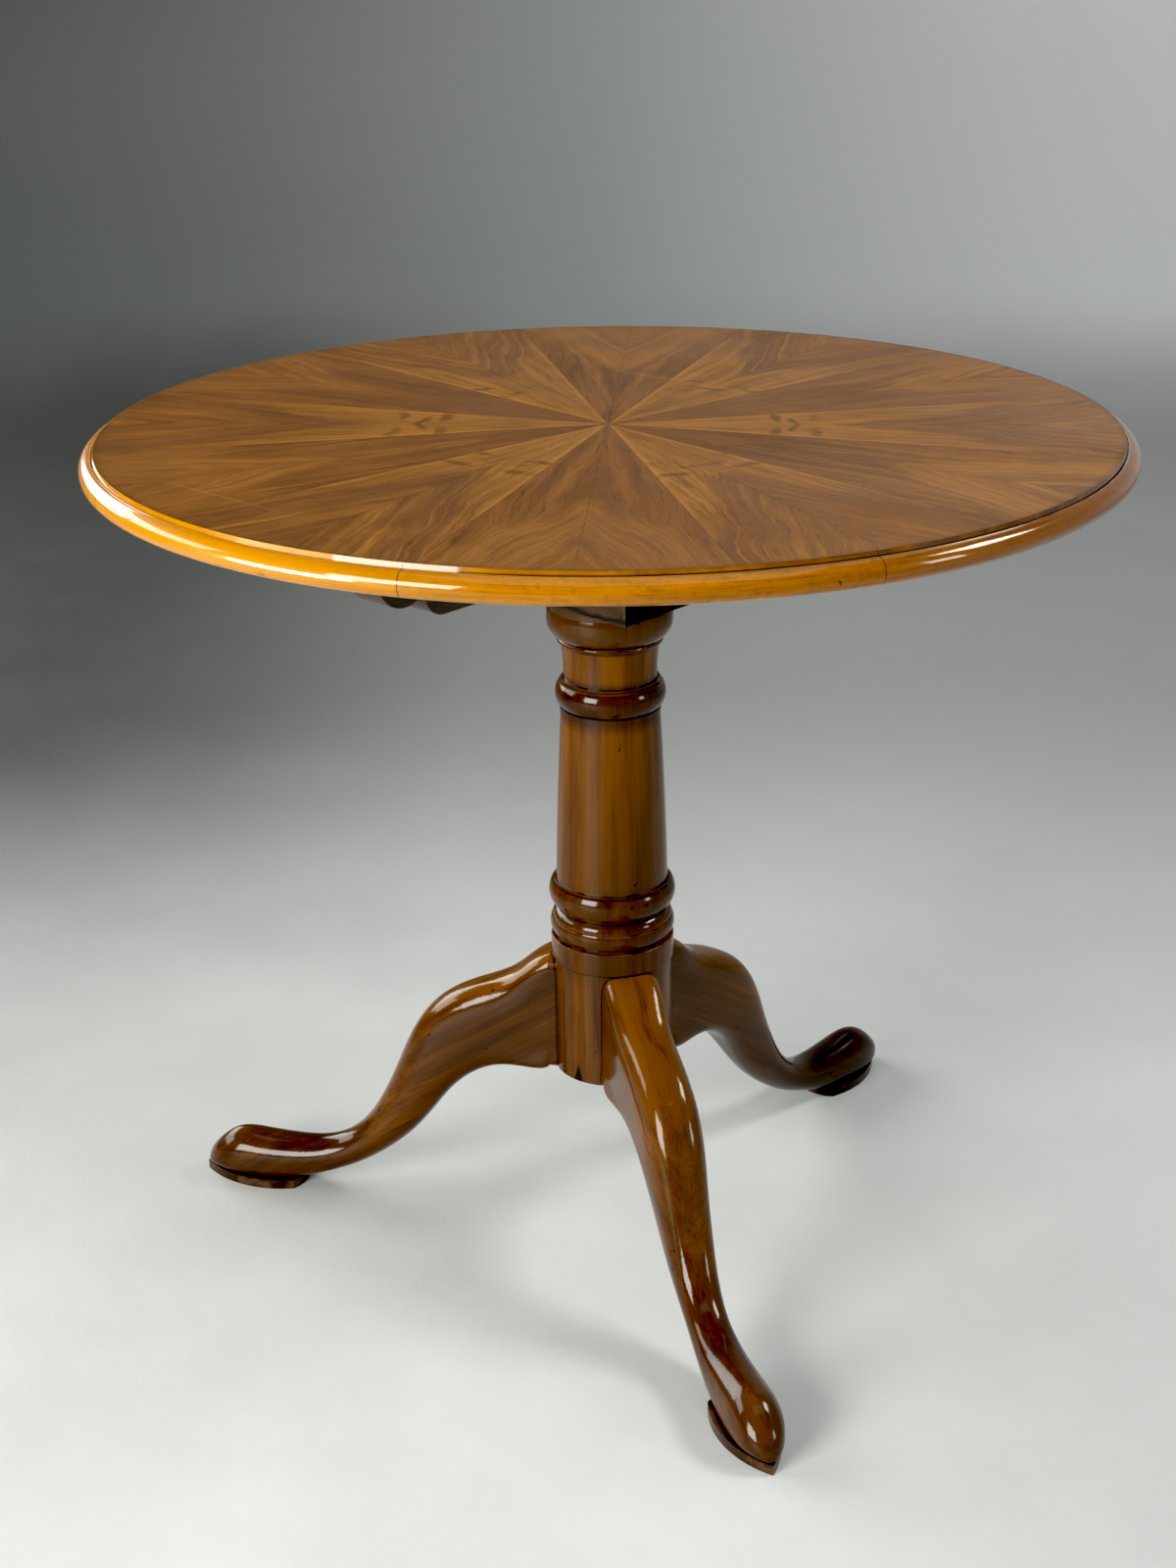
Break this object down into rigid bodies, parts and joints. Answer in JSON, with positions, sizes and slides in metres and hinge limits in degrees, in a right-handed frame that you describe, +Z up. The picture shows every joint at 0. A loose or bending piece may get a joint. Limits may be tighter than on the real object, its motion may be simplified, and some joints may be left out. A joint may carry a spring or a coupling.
{
  "type": "tilt-top side table",
  "caption": "Round tilt-top side table with a sunburst-veneered hinged top, a turning cage, a turned column and curved legs.",
  "frame": {"origin": "on the floor under the column, in the middle of the round top", "axes": "+Z up, out of the face of the top; +X along the hinge; the rear leg points to +Y and the hinge is on the -Y side of the cage"},
  "size_m": [0.82, 0.82, 0.72],
  "materials": {
    "veneer_light": "satin polish",
    "veneer_dark": "satin polish",
    "edge_wood": "gloss polish",
    "core_wood": "matt",
    "walnut": "gloss polish",
    "cage_wood": "matt stain",
    "brass": "tarnished",
    "steel": "dull"
  },
  "bodies": {
    "base": {"column": "walnut", "collar_ring": "cage_wood", "cage_wedge": "cage_wood", "leg_rear": "walnut", "leg_left": "walnut", "leg_right": "walnut"},
    "cage": {"lower_cage_plate": "cage_wood", "upper_cage_plate": "cage_wood", "cage_baluster_1": "cage_wood", "cage_baluster_2": "cage_wood", "cage_baluster_3": "cage_wood", "cage_baluster_4": "cage_wood", "hinge_dowel_right": "cage_wood", "hinge_dowel_left": "cage_wood", "strike_plate": "brass", "strike_screws": "brass"},
    "top": {"veneer_light_leaves": "veneer_light", "veneer_dark_leaves": "veneer_dark", "core_boards": "core_wood", "edge_moulding_1": "edge_wood", "edge_moulding_2": "edge_wood", "edge_moulding_3": "edge_wood", "edge_moulding_4": "edge_wood", "edge_moulding_5": "edge_wood", "edge_moulding_6": "edge_wood", "edge_moulding_7": "edge_wood", "edge_moulding_8": "edge_wood", "bearer_right": "cage_wood", "bearer_left": "cage_wood", "bearer_screws_right": "steel", "bearer_screws_left": "steel", "catch_screws": "brass", "catch_case": "brass"},
    "bolt": {"catch_bolt": "brass", "catch_knob": "brass"}
  },
  "joints": [
    {"name": "cage_spin", "type": "hinge", "parent": "base", "child": "cage", "pos_m": [0, 0, 0.6], "axis": [0, 0, 1], "continuous": true},
    {"name": "top_tilt", "type": "hinge", "parent": "cage", "child": "top", "pos_m": [0, -0.0815, 0.6871], "axis": [1, 0, 0], "range_deg": [0, 90]},
    {"name": "catch_slide", "type": "slide", "parent": "top", "child": "bolt", "axis": [0, -1, 0], "range_m": [0, 0.008]}
  ]
}
